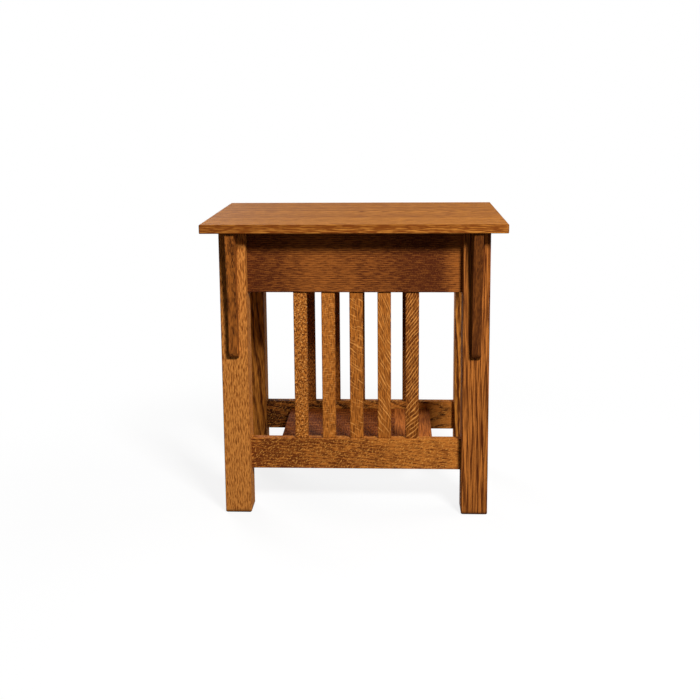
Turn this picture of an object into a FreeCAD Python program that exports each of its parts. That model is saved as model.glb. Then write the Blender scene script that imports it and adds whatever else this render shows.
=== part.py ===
import FreeCAD, Part
import math
import os
import re
import Sketcher

# Magazine table in solid oak: glued top boards on a mortised leg frame, a row of slats in front and
# behind, open ends, and a low shelf on cleats between the two lower rails.
# Millimetres. X runs left to right, Y front to back, Z up. The origin is on the floor under the middle.

slats_per_row = 5
shelf_board_count = 4

sizes = {
    # Top
    "table_height": 610,
    "top_width": 602,
    "top_depth": 406,
    "top_thickness": 18,
    "top_edge_board": 120,  # width of the front board and of the back board
    "top_edge_radius": 2,
    "side_overhang": 30,
    "front_overhang": 46,
    # Legs
    "leg_size": 54,
    "leg_edge_radius": 2,
    "foot_chamfer": 3,
    # Aprons and lower rails
    "apron_height": 128,
    "apron_thickness": 19,
    "rail_height": 65,
    "rail_thickness": 19,
    "rail_base": 91,
    "board_edge_radius": 1.5,
    # Mortise and tenon joints
    "tenon_cheek": 5,  # wood taken off each face of a board to leave its tenon
    "apron_tenon_shoulder": 16,
    "rail_tenon_shoulder": 10,
    "rail_tenon_length": 26,
    "mortise_wall": 4,  # wood between the two mortises that run towards each other in a leg
    "joint_gap": 0.1,  # glue room on each side of a tenon
    "end_gap": 1,  # free room past the end of a tenon, dowel or screw
    # Slats
    "slat_width": 27.5,
    "slat_thickness": 11,
    "slat_spacing": 57,
    "front_slat_shift": 2.5,  # the rows stand a little off the middle of the table
    "back_slat_shift": -2,
    "slat_edge_radius": 1,
    "slat_tenon_shoulder": 4,
    "slat_tenon_cheek": 2.5,
    "slat_tenon_length": 10,
    # Shelf and its cleats
    "shelf_board_width": 80,
    "shelf_thickness": 19,
    "shelf_drop": 17,  # from the top of the rails down to the shelf
    "shelf_end_gap": 0.5,
    "shelf_edge_radius": 1.5,
    "cleat_height": 19,
    "cleat_thickness": 19,
    "cleat_inset": 10,
    # Corbels and their dowels
    "corbel_length": 258,
    "corbel_thickness": 19,
    "corbel_setback": 8,  # from the edge of the top back to the corbel's face
    "corbel_foot_depth": 16,
    "corbel_heel": 2,
    "corbel_edge_radius": 1.5,
    "dowel_diameter": 8,
    "dowel_gap": 0.15,
    "dowel_leg_depth": 18,
    "dowel_drop": 32,
    "dowel_rise": 80,
    # Steel clips that hold the top
    "clip_width": 16,
    "clip_thickness": 2,
    "clip_flange": 22,
    "clip_tongue": 7,
    "clip_stand": 0.5,
    "clip_screw_setback": 13,
    "clip_spacing": 110,
    "end_clip_spacing": 60,
    "groove_drop": 11,
    "groove_depth": 8,
    "groove_gap": 1,
    # Screws
    "screw_diameter": 4,
    "screw_gap": 0.15,
    "screw_head_diameter": 9,
    "screw_head_flat": 5,
    "screw_head_rim": 1,
    "screw_head_dome": 1.6,
    "screw_point": 5,
    "wood_skin": 6,  # wood left between the end of a blind hole and the far face
}

# Sizes and places that follow from the driving sizes
places = {
    "frame_width": "top_width - 2 * side_overhang",
    "frame_depth": "top_depth - 2 * front_overhang",
    "leg_length": "table_height - top_thickness",
    "leg_x": "(frame_width - leg_size) / 2",
    "leg_y": "(frame_depth - leg_size) / 2",
    "front_span": "frame_width - 2 * leg_size",
    "end_span": "frame_depth - 2 * leg_size",
    "apron_base": "leg_length - apron_height",
    "apron_tenon_thickness": "apron_thickness - 2 * tenon_cheek",
    "apron_tenon_height": "apron_height - 2 * apron_tenon_shoulder",
    "apron_tenon_length": "(leg_size - apron_tenon_thickness) / 2 - joint_gap - mortise_wall - end_gap",
    "rail_top": "rail_base + rail_height",
    "rail_tenon_thickness": "rail_thickness - 2 * tenon_cheek",
    "rail_tenon_height": "rail_height - 2 * rail_tenon_shoulder",
    "slat_length": "apron_base - rail_top",
    "slat_tenon_width": "slat_width - 2 * slat_tenon_shoulder",
    "slat_tenon_thickness": "slat_thickness - 2 * slat_tenon_cheek",
    "shelf_base": "rail_top - shelf_drop - shelf_thickness",
    "shelf_length": "2 * leg_y - rail_thickness - 2 * shelf_end_gap",
    "cleat_base": "shelf_base - cleat_height",
    "cleat_length": f"{shelf_board_count} * shelf_board_width - 2 * cleat_inset",
    "cleat_y": "leg_y - rail_thickness / 2 - cleat_thickness / 2",
    "cleat_face_y": "cleat_y - cleat_thickness / 2",
    "cleat_middle": "cleat_base + cleat_height / 2",
    "corbel_base": "leg_length - corbel_length",
    "corbel_top_depth": "front_overhang - corbel_setback",
    "corbel_nose_radius": "corbel_foot_depth - corbel_heel",
    "dowel_corbel_depth": "corbel_foot_depth - wood_skin - end_gap",
    "dowel_length": "dowel_leg_depth + dowel_corbel_depth",
    "clip_y": "leg_y - apron_thickness / 2",
    "clip_x": "leg_x - apron_thickness / 2",
    "clip_seat": "leg_length - clip_thickness",
    "clip_screw_length": "clip_thickness + top_thickness - wood_skin - end_gap",
    "cleat_screw_length": "cleat_thickness + rail_thickness - wood_skin - end_gap",
    "shelf_screw_length": "cleat_height + shelf_thickness - wood_skin - end_gap",
}

doc = FreeCAD.newDocument("MagazineTable")
vector = FreeCAD.Vector
nodes = {}


def formula(text):
    # Puts the sheet's name before every size named in a formula
    def owner(match):
        name = match.group()
        return f"Sizes.{name}" if name in sizes else f"Places.{name}"

    return re.sub(r"[a-z][a-z_]*", owner, text)


def fill_sheet(name, entries):
    sheet = doc.addObject("Spreadsheet::Sheet", name)
    for row, (alias, text) in enumerate(entries.items(), start=1):
        sheet.set(f"A{row}", alias)
        sheet.set(f"B{row}", text)
        sheet.setAlias(f"B{row}", alias)
    doc.recompute()
    return sheet


def bind(item, targets):
    for target, text in targets.items():
        item.setExpression(target, formula(text))


def place(item, x="0", y="0", z="0", turn=FreeCAD.Rotation()):
    item.Placement = FreeCAD.Placement(vector(), turn)
    bind(item, {"Placement.Base.x": x, "Placement.Base.y": y, "Placement.Base.z": z})


def turned(degrees):
    # A piece turned about the upright axis
    return FreeCAD.Rotation(vector(0, 0, 1), degrees)


def pointed(degrees):
    # A pin turned about X: -90 points it to the back and 90 to the front
    return FreeCAD.Rotation(vector(1, 0, 0), degrees)


def new_body(label):
    body = doc.addObject("PartDesign::Body", label)
    body.Label = label
    return body


def origin_feature(body, role):
    return next(item for item in body.Origin.OriginFeatures if item.Role == role)


def new_sketch(body, role, across="0", up="0", out="0"):
    sketch = body.newObject("Sketcher::SketchObject", "Outline")
    sketch.AttachmentSupport = [(origin_feature(body, role), "")]
    sketch.MapMode = "FlatFace"
    offsets = {
        "AttachmentOffset.Base.x": across,
        "AttachmentOffset.Base.y": up,
        "AttachmentOffset.Base.z": out,
    }
    bind(sketch, offsets)
    return sketch


def rectangle(body, role, wide, high, across="0", up="0", out="0"):
    # A rectangle about the point that lies across, up and out from the body's origin
    sketch = new_sketch(body, role, across, up, out)
    corners = [vector(-1, -1), vector(1, -1), vector(1, 1), vector(-1, 1)]
    for start, end in zip(corners, corners[1:] + corners[:1]):
        sketch.addGeometry(Part.LineSegment(start, end), False)
    for side in range(4):
        sketch.addConstraint(Sketcher.Constraint("Coincident", side, 2, (side + 1) % 4, 1))
        sketch.addConstraint(Sketcher.Constraint("Vertical" if side % 2 else "Horizontal", side))
    sketch.addConstraint(Sketcher.Constraint("Symmetric", 0, 1, 1, 2, -1, 1))
    width = sketch.addConstraint(Sketcher.Constraint("DistanceX", 0, 1, 0, 2, 2))
    height = sketch.addConstraint(Sketcher.Constraint("DistanceY", 1, 1, 1, 2, 2))
    bind(sketch, {f"Constraints[{width}]": wide, f"Constraints[{height}]": high})
    return sketch


def circle(body, role, diameter, across="0", up="0", out="0"):
    sketch = new_sketch(body, role, across, up, out)
    sketch.addGeometry(Part.Circle(vector(), vector(0, 0, 1), 1), False)
    sketch.addConstraint(Sketcher.Constraint("Coincident", 0, 3, -1, 1))
    across_hole = sketch.addConstraint(Sketcher.Constraint("Diameter", 0, 2))
    bind(sketch, {f"Constraints[{across_hole}]": diameter})
    return sketch


def pad(body, sketch, length, backwards=False):
    feature = body.newObject("PartDesign::Pad", "Pad")
    feature.Profile = sketch
    feature.Reversed = backwards
    bind(feature, {"Length": length})
    return feature


def pocket(body, sketch, depth, backwards=False):
    feature = body.newObject("PartDesign::Pocket", "Pocket")
    feature.Profile = sketch
    feature.Reversed = backwards
    bind(feature, {"Length": depth})
    return feature


def dress_edges(body, kind, target, size, chosen):
    # Rounds or bevels those edges of the body, as it is so far, that chosen picks
    doc.recompute()
    base = body.Tip
    names = [f"Edge{n}" for n, edge in enumerate(base.Shape.Edges, start=1) if chosen(edge)]
    feature = body.newObject(kind, "EasedEdges")
    feature.Base = (base, names)
    bind(feature, {target: size})


def ease_edges(body, radius, chosen):
    dress_edges(body, "PartDesign::Fillet", "Radius", radius, chosen)


def runs_along(edge, axis):
    return abs(edge.tangentAt(edge.FirstParameter).dot(axis)) > 1 - tolerance


def lies_at(edge, axis, value):
    return all(abs(vertex.Point.dot(axis) - value) < tolerance for vertex in edge.Vertexes)


def board(label, length, width, height):
    # An upright block, centred on its own axis, that stands on the body's XY plane
    body = new_body(label)
    pad(body, rectangle(body, "XY_Plane", length, width), height)
    return body


def end_tenons(body, span, thickness, height, middle, length):
    for end in (-1, 1):
        outline = rectangle(body, "YZ_Plane", thickness, height, up=middle, out=f"{end} * {span} / 2")
        pad(body, outline, length, backwards=end < 0)


def slat_mortises(body, shift, out, upwards):
    # A row of mortises for the slats' tenons, sunk into the top or bottom edge of a board
    first = f"{shift} - {slats_per_row - 1} * slat_spacing / 2"
    wide = "slat_tenon_width + 2 * joint_gap"
    high = "slat_tenon_thickness + 2 * joint_gap"
    outline = rectangle(body, "XY_Plane", wide, high, across=first, out=out)
    mortise = pocket(body, outline, "slat_tenon_length + end_gap", backwards=upwards)
    row = body.newObject("PartDesign::LinearPattern", "MortiseRow")
    row.Originals = [mortise]
    row.Direction = (origin_feature(body, "X_Axis"), [""])
    row.Occurrences = slats_per_row
    bind(row, {"Length": f"{slats_per_row - 1} * slat_spacing"})
    body.Tip = row


def scatter(label, master, spots):
    # Copies of one piece at several spots, as a group of separate solids
    copies = []
    for x, y, z, turn in spots:
        copy = doc.addObject("App::Link", f"{label}_copy")
        copy.LinkedObject = master
        copy.LinkTransform = True
        place(copy, x, y, z, turn)
        copies.append(copy)
    group = doc.addObject("Part::Compound", label)
    group.Label = label
    group.Links = copies
    return group


def pin_hole(label, diameter, gap, length):
    # A hole for a pin that starts at the origin and points up, with free room past both ends
    hole = doc.addObject("Part::Cylinder", label)
    bind(hole, {"Radius": f"{diameter} / 2 + {gap}", "Height": f"{length} + 2 * end_gap"})
    place(hole, z="0 - end_gap")
    return hole


def drilled(label, blank, holes):
    # The finished piece: its blank with the holes of a fastener group cut out
    piece = doc.addObject("Part::Cut", label)
    piece.Label = label
    piece.Base = blank
    piece.Tool = holes
    nodes[label] = piece
    return piece


def make_screw(label, length):
    # A washer-head wood screw that seats at the origin and points up
    head = doc.addObject("Part::Cone", f"{label}_dome")
    bind(head, {
        "Radius1": "screw_head_flat / 2",
        "Radius2": "screw_head_diameter / 2",
        "Height": "screw_head_dome",
    })
    place(head, z="0 - screw_head_rim - screw_head_dome")
    rim = doc.addObject("Part::Cylinder", f"{label}_rim")
    bind(rim, {"Radius": "screw_head_diameter / 2", "Height": "screw_head_rim"})
    place(rim, z="0 - screw_head_rim")
    shank = doc.addObject("Part::Cylinder", f"{label}_shank")
    bind(shank, {"Radius": "screw_diameter / 2", "Height": f"{length} - screw_point"})
    point = doc.addObject("Part::Cone", f"{label}_point")
    bind(point, {"Radius1": "screw_diameter / 2", "Height": "screw_point"})
    point.Radius2 = 0
    place(point, z=f"{length} - screw_point")
    screw = doc.addObject("Part::MultiFuse", f"{label}_master")
    screw.Shapes = [head, rim, shank, point]
    return screw


def make_screws(label, length, spots):
    # The screws of one kind, and the holes that they need in the pieces they join
    nodes[label] = scatter(label, make_screw(label, length), spots)
    hole = pin_hole(f"{label}_hole", "screw_diameter", "screw_gap", length)
    return scatter(f"{label}_holes", hole, spots)


def make_leg(label, side, end, holes):
    # side is -1 on the left and 1 on the right, end is -1 in front and 1 behind
    blank = board(f"{label}_blank", "leg_size", "leg_size", "leg_length")
    upright = vector(0, 0, 1)
    dress_edges(blank, "PartDesign::Chamfer", "Size", "foot_chamfer", lambda edge: lies_at(edge, upright, 0))
    ease_edges(blank, "leg_edge_radius", lambda edge: runs_along(edge, upright))
    apron_middle = "apron_base + apron_height / 2"
    apron_wide = "apron_tenon_thickness + 2 * joint_gap"
    apron_high = "apron_tenon_height + 2 * joint_gap"
    rail_wide = "rail_tenon_thickness + 2 * joint_gap"
    rail_high = "rail_tenon_height + 2 * joint_gap"
    inner_side = f"{-side} * leg_size / 2"
    inner_end = f"{end} * leg_size / 2"
    front = rectangle(blank, "YZ_Plane", apron_wide, apron_high, up=apron_middle, out=inner_side)
    pocket(blank, front, "apron_tenon_length + end_gap", backwards=side > 0)
    low = rectangle(blank, "YZ_Plane", rail_wide, rail_high, up="rail_base + rail_height / 2", out=inner_side)
    pocket(blank, low, "rail_tenon_length + end_gap", backwards=side > 0)
    across = rectangle(blank, "XZ_Plane", apron_wide, apron_high, up=apron_middle, out=inner_end)
    pocket(blank, across, "apron_tenon_length + end_gap", backwards=end < 0)
    place(blank, x=f"{side} * leg_x", y=f"{end} * leg_y")
    drilled(label, blank, holes)


def make_apron(label, span, shift, x, y, turn):
    # The inner face looks along +Y before the apron is turned into place
    body = board(label, span, "apron_thickness", "apron_height")
    lengthwise = vector(1, 0, 0)
    upright = vector(0, 0, 1)
    ease_edges(
        body,
        "board_edge_radius",
        lambda edge: runs_along(edge, lengthwise) and lies_at(edge, upright, 0),
    )
    end_tenons(
        body,
        span,
        "apron_tenon_thickness",
        "apron_tenon_height",
        "apron_height / 2",
        "apron_tenon_length",
    )
    groove_high = "clip_thickness + groove_gap"
    groove_middle = "apron_height - groove_drop - (clip_thickness + groove_gap) / 2"
    groove = rectangle(body, "XZ_Plane", span, groove_high, up=groove_middle, out="0 - apron_thickness / 2")
    pocket(body, groove, "groove_depth", backwards=True)
    if shift:
        slat_mortises(body, shift, "0", upwards=True)
    place(body, x, y, "apron_base", turn)
    nodes[label] = body


def make_rail(label, shift, end, holes, turn):
    blank = board(f"{label}_blank", "front_span", "rail_thickness", "rail_height")
    ease_edges(blank, "board_edge_radius", lambda edge: runs_along(edge, vector(1, 0, 0)))
    end_tenons(
        blank,
        "front_span",
        "rail_tenon_thickness",
        "rail_tenon_height",
        "rail_height / 2",
        "rail_tenon_length",
    )
    slat_mortises(blank, shift, "rail_height", upwards=False)
    place(blank, y=f"{end} * leg_y", z="rail_base", turn=turn)
    drilled(label, blank, holes)


def make_slat(label, shift, step, end):
    body = board(label, "slat_width", "slat_thickness", "slat_length")
    ease_edges(body, "slat_edge_radius", lambda edge: runs_along(edge, vector(0, 0, 1)))
    for out, down in (("slat_length", False), ("0", True)):
        outline = rectangle(body, "XY_Plane", "slat_tenon_width", "slat_tenon_thickness", out=out)
        pad(body, outline, "slat_tenon_length", backwards=down)
    place(body, f"{shift} + {step} * slat_spacing", f"{end} * leg_y", "rail_top")
    nodes[label] = body


def make_top_board(label, width, y, seams, holes):
    # seams are the ends, -1 in front and 1 behind, where the board is glued to the next one
    blank = board(f"{label}_blank", "top_width", width, "top_thickness")
    doc.recompute()
    depthwise = vector(0, 1, 0)
    half = blank.Shape.BoundBox.YLength / 2
    ease_edges(
        blank,
        "top_edge_radius",
        lambda edge: not any(lies_at(edge, depthwise, seam * half) for seam in seams),
    )
    place(blank, y=y, z="leg_length")
    drilled(label, blank, holes)


def make_shelf_board(label, step, outer, holes):
    # outer is the side, -1 left or 1 right, that is an outer edge of the shelf, or 0
    blank = board(f"{label}_blank", "shelf_board_width", "shelf_length", "shelf_thickness")
    if outer:
        doc.recompute()
        half = blank.Shape.BoundBox.XLength / 2
        sideways = vector(1, 0, 0)
        depthwise = vector(0, 1, 0)
        ease_edges(
            blank,
            "shelf_edge_radius",
            lambda edge: runs_along(edge, depthwise) and lies_at(edge, sideways, outer * half),
        )
    place(blank, x=f"{step} * shelf_board_width", z="shelf_base")
    drilled(label, blank, holes)


def corbel_outline(body):
    # The side of a corbel: its back lies on the leg, its front sweeps in from the top to a rounded nose
    sketch = new_sketch(body, "YZ_Plane", out="0 - corbel_thickness / 2")
    length = sheet.get("corbel_length")
    top_depth = derived.get("corbel_top_depth")
    foot_depth = sheet.get("corbel_foot_depth")
    heel = sheet.get("corbel_heel")
    nose = derived.get("corbel_nose_radius")
    rise = length - nose
    flare = top_depth - foot_depth
    sweep = (rise**2 + flare**2) / (2 * flare)
    facing = vector(0, 0, 1)
    sweep_circle = Part.Circle(vector(-foot_depth - sweep, nose), facing, sweep)
    nose_circle = Part.Circle(vector(-heel, nose), facing, nose)
    back, top, front, end, base = range(5)
    sketch.addGeometry(Part.LineSegment(vector(0, 0), vector(0, length)), False)
    sketch.addGeometry(Part.LineSegment(vector(0, length), vector(-top_depth, length)), False)
    sketch.addGeometry(Part.ArcOfCircle(sweep_circle, 0, math.asin(rise / sweep)), False)
    sketch.addGeometry(Part.ArcOfCircle(nose_circle, math.pi, 3 * math.pi / 2), False)
    sketch.addGeometry(Part.LineSegment(vector(-heel, 0), vector(0, 0)), False)
    rules = [
        ("Coincident", back, 1, -1, 1),
        ("Coincident", back, 2, top, 1),
        ("Coincident", top, 2, front, 2),
        ("Coincident", front, 1, end, 1),
        ("Coincident", end, 2, base, 1),
        ("Coincident", base, 2, back, 1),
        ("Vertical", back),
        ("Horizontal", top),
        ("Horizontal", base),
        ("Horizontal", front, 3, front, 1),
        ("Horizontal", end, 3, end, 1),
        ("Vertical", end, 3, end, 2),
    ]
    for rule in rules:
        sketch.addConstraint(Sketcher.Constraint(*rule))
    measures = {
        "corbel_length": ("DistanceY", back, 1, back, 2, length),
        "corbel_top_depth": ("DistanceX", top, 2, top, 1, top_depth),
        "corbel_heel": ("DistanceX", base, 1, base, 2, heel),
        "corbel_nose_radius": ("Radius", end, nose),
    }
    for name, measure in measures.items():
        number = sketch.addConstraint(Sketcher.Constraint(*measure))
        bind(sketch, {f"Constraints[{number}]": name})
    return sketch


def make_corbel(label, side, end, holes, turn):
    blank = new_body(f"{label}_blank")
    pad(blank, corbel_outline(blank), "corbel_thickness")
    ease_edges(blank, "corbel_edge_radius", lambda edge: isinstance(edge.Curve, Part.Circle))
    place(blank, f"{side} * leg_x", f"{end} * frame_depth / 2", "corbel_base", turn)
    drilled(label, blank, holes)


def make_clip():
    # A stepped steel clip: its flange lies under the top and its tongue sits in the apron's groove.
    # The origin is on the apron's inner face, level with the underside of the top.
    body = new_body("clip_master")
    reach = "clip_flange - clip_stand"
    flange = rectangle(body, "XY_Plane", "clip_width", reach, up="(clip_flange + clip_stand) / 2")
    pad(body, flange, "clip_thickness", backwards=True)
    riser_middle = "clip_stand + clip_thickness / 2"
    riser = rectangle(body, "XY_Plane", "clip_width", "clip_thickness", up=riser_middle)
    pad(body, riser, "groove_drop + clip_thickness", backwards=True)
    tongue_long = "clip_tongue + clip_stand + clip_thickness"
    tongue_middle = "(clip_stand + clip_thickness - clip_tongue) / 2"
    tongue = rectangle(body, "XY_Plane", "clip_width", tongue_long, up=tongue_middle, out="0 - groove_drop")
    pad(body, tongue, "clip_thickness", backwards=True)
    hole = circle(body, "XY_Plane", "screw_diameter + 2 * screw_gap", up="clip_screw_setback")
    pocket(body, hole, "clip_thickness")
    return body


def make_cleat(label, end, holes):
    blank = board(f"{label}_blank", "cleat_length", "cleat_thickness", "cleat_height")
    place(blank, y=f"{end} * cleat_y", z="cleat_base")
    drilled(label, blank, holes)


def check_document():
    for item in doc.Objects:
        if "Invalid" in item.State or "Error" in item.State:
            raise RuntimeError(f"{item.Label} did not build: {item.State}")
        if item.TypeId == "PartDesign::Pocket":
            removed = item.BaseFeature.Shape.Volume - item.Shape.Volume
            if removed < tolerance:
                raise RuntimeError(f"{item.Label} cuts nothing")
    for label, item in nodes.items():
        if item.Shape.isNull() or not item.Shape.isValid():
            raise RuntimeError(f"{label} has no sound shape")


tolerance = 1e-4
sheet = fill_sheet("Sizes", {alias: str(value) for alias, value in sizes.items()})
derived = fill_sheet("Places", {alias: "=" + formula(text) for alias, text in places.items()})

ends = {"front": -1, "back": 1}
sides = {"left": -1, "right": 1}
facings = {"front": turned(0), "back": turned(180), "left": turned(-90), "right": turned(90)}
slat_shifts = {"front": "front_slat_shift", "back": "back_slat_shift"}
upwards = pointed(0)
inwards = {"front": pointed(-90), "back": pointed(90)}
outwards = {"front": pointed(90), "back": pointed(-90)}

# Dowels between legs and corbels
dowel_spots = []
for end_name, end in ends.items():
    for side in sides.values():
        for height in ("leg_length - dowel_drop", "corbel_base + dowel_rise"):
            start = f"{end} * (frame_depth / 2 + dowel_corbel_depth)"
            dowel_spots.append((f"{side} * leg_x", start, height, inwards[end_name]))
dowel = doc.addObject("Part::Cylinder", "dowel_master")
bind(dowel, {"Radius": "dowel_diameter / 2", "Height": "dowel_length"})
nodes["corbel_dowels"] = scatter("corbel_dowels", dowel, dowel_spots)
dowel_hole = pin_hole("dowel_hole", "dowel_diameter", "dowel_gap", "dowel_length")
dowel_holes = scatter("dowel_holes", dowel_hole, dowel_spots)

# Clips round the inside of the aprons, and the screws that hold them to the top
clip_spots = []
clip_screw_spots = []
for end_name, end in ends.items():
    for step in (-1, 0, 1):
        x = f"{step} * clip_spacing"
        clip_spots.append((x, f"{end} * clip_y", "leg_length", facings[end_name]))
        clip_screw_spots.append((x, f"{end} * (clip_y - clip_screw_setback)", "clip_seat", upwards))
for side_name, side in sides.items():
    for step in (-1, 1):
        y = f"{step} * end_clip_spacing"
        clip_spots.append((f"{side} * clip_x", y, "leg_length", facings[side_name]))
        clip_screw_spots.append((f"{side} * (clip_x - clip_screw_setback)", y, "clip_seat", upwards))
nodes["top_clips"] = scatter("top_clips", make_clip(), clip_spots)
top_holes = make_screws("top_clip_screws", "clip_screw_length", clip_screw_spots)

# Screws through the cleats into the rails, and up through the cleats into the shelf
cleat_screw_spots = []
shelf_screw_spots = []
shelf_steps = [step - (shelf_board_count - 1) / 2 for step in range(shelf_board_count)]
for end_name, end in ends.items():
    for step in range(1, shelf_board_count):
        x = f"{step - shelf_board_count / 2} * shelf_board_width"
        cleat_screw_spots.append((x, f"{end} * cleat_face_y", "cleat_middle", outwards[end_name]))
    for step in shelf_steps:
        shelf_screw_spots.append((f"{step} * shelf_board_width", f"{end} * cleat_y", "cleat_base", upwards))
cleat_holes = make_screws("cleat_screws", "cleat_screw_length", cleat_screw_spots)
shelf_holes = make_screws("shelf_screws", "shelf_screw_length", shelf_screw_spots)
both_cleat_holes = doc.addObject("Part::Compound", "both_cleat_holes")
both_cleat_holes.Links = [cleat_holes, shelf_holes]

# Leg frame, rails, slats, corbels and cleats, front and back
for end_name, end in ends.items():
    facing = facings[end_name]
    shift = slat_shifts[end_name]
    board_shift = f"{-end} * {shift}"
    for side_name, side in sides.items():
        make_leg(f"leg_{end_name}_{side_name}", side, end, dowel_holes)
        make_corbel(f"corbel_{end_name}_{side_name}", side, end, dowel_holes, facing)
    make_apron(f"apron_{end_name}", "front_span", board_shift, "0", f"{end} * leg_y", facing)
    make_rail(f"lower_rail_{end_name}", board_shift, end, cleat_holes, facing)
    for number in range(1, slats_per_row + 1):
        step = number - (slats_per_row + 1) / 2
        make_slat(f"slat_{end_name}_{number}", shift, step, end)
    make_cleat(f"shelf_cleat_{end_name}", end, both_cleat_holes)
for side_name, side in sides.items():
    make_apron(f"apron_{side_name}", "end_span", None, f"{side} * leg_x", "0", facings[side_name])

# Top and shelf
for end_name, end in ends.items():
    y = f"{end} * (top_depth - top_edge_board) / 2"
    make_top_board(f"top_board_{end_name}", "top_edge_board", y, (-end,), top_holes)
make_top_board("top_board_middle", "top_depth - 2 * top_edge_board", "0", (-1, 1), top_holes)
for number, step in enumerate(shelf_steps, start=1):
    outer = {1: -1, shelf_board_count: 1}.get(number, 0)
    make_shelf_board(f"shelf_board_{number}", step, outer, shelf_holes)

doc.recompute()
check_document()
os.makedirs("parts", exist_ok=True)
for label, item in nodes.items():
    item.Shape.exportStep(f"parts/{label}.step")
print(f"{len(nodes)} nodes, {sum(len(item.Shape.Solids) for item in nodes.values())} solids")
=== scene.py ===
import math

import bpy
from mathutils import Euler, Matrix, Vector


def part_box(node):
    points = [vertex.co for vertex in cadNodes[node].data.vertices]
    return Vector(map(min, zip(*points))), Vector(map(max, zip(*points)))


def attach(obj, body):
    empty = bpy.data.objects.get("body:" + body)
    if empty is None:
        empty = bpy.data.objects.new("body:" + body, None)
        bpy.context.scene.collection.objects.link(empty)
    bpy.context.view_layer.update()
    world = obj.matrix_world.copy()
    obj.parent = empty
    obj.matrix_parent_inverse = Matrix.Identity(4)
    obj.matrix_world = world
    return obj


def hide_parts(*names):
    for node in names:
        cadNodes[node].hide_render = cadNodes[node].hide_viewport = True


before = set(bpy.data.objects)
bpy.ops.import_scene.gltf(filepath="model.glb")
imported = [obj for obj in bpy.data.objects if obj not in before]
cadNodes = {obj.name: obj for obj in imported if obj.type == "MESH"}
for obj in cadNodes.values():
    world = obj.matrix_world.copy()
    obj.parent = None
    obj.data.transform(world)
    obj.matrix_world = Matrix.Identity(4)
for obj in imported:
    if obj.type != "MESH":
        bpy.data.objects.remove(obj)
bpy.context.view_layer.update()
scene = bpy.context.scene
print("frame loaded:", len(cadNodes), "nodes")


# small helpers for node trees

def stain(red, green, blue):  # a screen colour, 0 to 255, as the linear colour that a socket takes
    shares = [value / 255 for value in (red, green, blue)]
    linear = [s / 12.92 if s <= 0.04045 else ((s + 0.055) / 1.055) ** 2.4 for s in shares]
    return (*linear, 1.0)


def feed(tree, slot, value):  # a socket is linked, anything else is set
    if isinstance(value, bpy.types.NodeSocket):
        tree.links.new(value, slot)
    else:
        slot.default_value = value


def addNode(tree, kind, inputs=None, **settings):
    node = tree.nodes.new(kind)
    for name, value in settings.items():
        setattr(node, name, value)
    for slot, value in (inputs or {}).items():
        feed(tree, node.inputs[slot], value)
    return node


def calc(tree, operation, *values):
    inputs = dict(enumerate(values))
    return addNode(tree, "ShaderNodeMath", inputs, operation=operation).outputs[0]


def vectorCalc(tree, operation, *values):
    inputs = dict(enumerate(values))
    return addNode(tree, "ShaderNodeVectorMath", inputs, operation=operation).outputs[0]


def aroundZero(tree, value):  # from noise, which runs from 0 to 1
    return calc(tree, "SUBTRACT", value, 0.5)


def noise(tree, vector, detail):
    inputs = {"Vector": vector, "Scale": 1.0, "Detail": detail}
    return addNode(tree, "ShaderNodeTexNoise", inputs).outputs[0]


def waveNoise(tree, place, waves, detail):  # waves per metre in x, y and z
    return noise(tree, vectorCalc(tree, "MULTIPLY", place, waves), detail)


def whiteNoise(tree, dimensions, inputs):
    return addNode(tree, "ShaderNodeTexWhiteNoise", inputs, noise_dimensions=dimensions).outputs[0]


def smooth(tree, value, low, high, atLow=0.0, atHigh=1.0):  # eased step from low to high
    inputs = {"Value": value, "From Min": low, "From Max": high, "To Min": atLow, "To Max": atHigh}
    return addNode(tree, "ShaderNodeMapRange", inputs, interpolation_type="SMOOTHSTEP").outputs[0]


def blendValue(tree, amount, under, over):
    return addNode(tree, "ShaderNodeMix", {0: amount, 2: under, 3: over}).outputs[0]


def blendTone(tree, amount, under, over):
    return addNode(tree, "ShaderNodeMix", {0: amount, 6: under, 7: over}, data_type="RGBA").outputs[2]


def split(tree, vector):
    return addNode(tree, "ShaderNodeSeparateXYZ", {0: vector}).outputs


def join(tree, x, y, z):
    return addNode(tree, "ShaderNodeCombineXYZ", {0: x, 1: y, 2: z}).outputs[0]


def socketKind(value):
    if isinstance(value, tuple):
        return "Color" if len(value) == 4 else "Vector"
    return "Float"


def newGroup(name, treeKind, inputs, outputs):
    # an input is given by its socket's kind, or by the value that it starts with
    tree = bpy.data.node_groups.new(name, treeKind)
    for label, start in inputs.items():
        isKind = isinstance(start, str)
        kind = start if isKind else socketKind(start)
        socket = tree.interface.new_socket(label, in_out="INPUT", socket_type="NodeSocket" + kind)
        if not isKind:
            socket.default_value = start
    for label, kind in outputs.items():
        tree.interface.new_socket(label, in_out="OUTPUT", socket_type="NodeSocket" + kind)
    given = tree.nodes.new("NodeGroupInput").outputs
    result = tree.nodes.new("NodeGroupOutput").inputs
    return tree, given, result


def inputItems(tree):
    return [item for item in tree.interface.items_tree if item.in_out == "INPUT"]


def placeGroup(tree, group, inputs):
    return addNode(tree, "ShaderNodeGroup", inputs, node_tree=group).outputs


def placeInner(tree, group, given):  # a group inside another, fed by the inputs of the same names
    return placeGroup(tree, group, {item.name: given[item.name] for item in inputItems(group)})


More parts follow.
